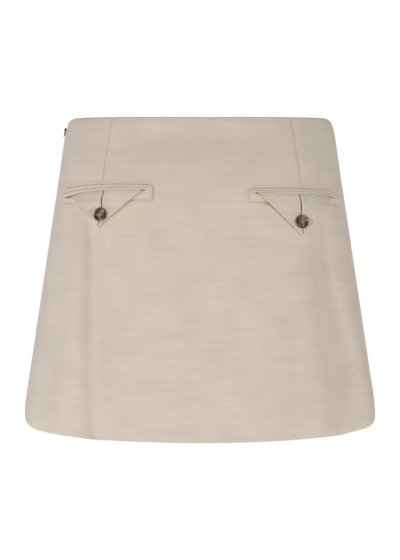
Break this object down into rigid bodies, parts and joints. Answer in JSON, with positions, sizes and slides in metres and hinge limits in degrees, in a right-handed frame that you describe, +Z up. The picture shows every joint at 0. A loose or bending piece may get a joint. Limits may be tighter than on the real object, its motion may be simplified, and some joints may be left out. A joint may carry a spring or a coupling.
{
  "type": "skort",
  "caption": "A-line mini skort in the form it takes when worn, with plain faced waist, welt pockets closed by buttoned triangular flaps, side zip and inner shorts.",
  "frame": {"origin": "centre of the waist opening, level with the top edge at centre back", "axes": "+Z up; the wearer faces +Y, so the back with its pockets faces -Y; +X is the wearer's right"},
  "size_m": [0.4042, 0.2565, 0.3629],
  "materials": {
    "skirt_cloth": "beige brushed cotton twill, matt",
    "shorts_cloth": "beige smooth lining knit, matt",
    "zip_tape": "beige woven tape, matt",
    "horn_button": "mottled dark brown horn look, polished",
    "zip_metal": "dark bronze, satin"
  },
  "bodies": {
    "garment": {"skirt_back": "skirt_cloth", "skirt_front": "skirt_cloth", "pocket_left_upper_welt": "skirt_cloth", "pocket_left_lower_welt": "skirt_cloth", "pocket_left_flap": "skirt_cloth", "pocket_right_upper_welt": "skirt_cloth", "pocket_right_lower_welt": "skirt_cloth", "pocket_right_flap": "skirt_cloth", "button_left": "horn_button", "button_right": "horn_button", "zip_tape": "zip_tape", "zip_slider": "zip_metal", "shorts_left": "shorts_cloth", "shorts_right": "shorts_cloth"},
    "pull_tab": {"zip_pull_tab": "zip_metal"}
  },
  "joints": [
    {"name": "pull_tab_swing", "type": "hinge", "parent": "garment", "child": "pull_tab", "pos_m": [-0.15604, 0, -0.00605], "axis": [0, 1, 0], "range_deg": [0, 150]}
  ]
}
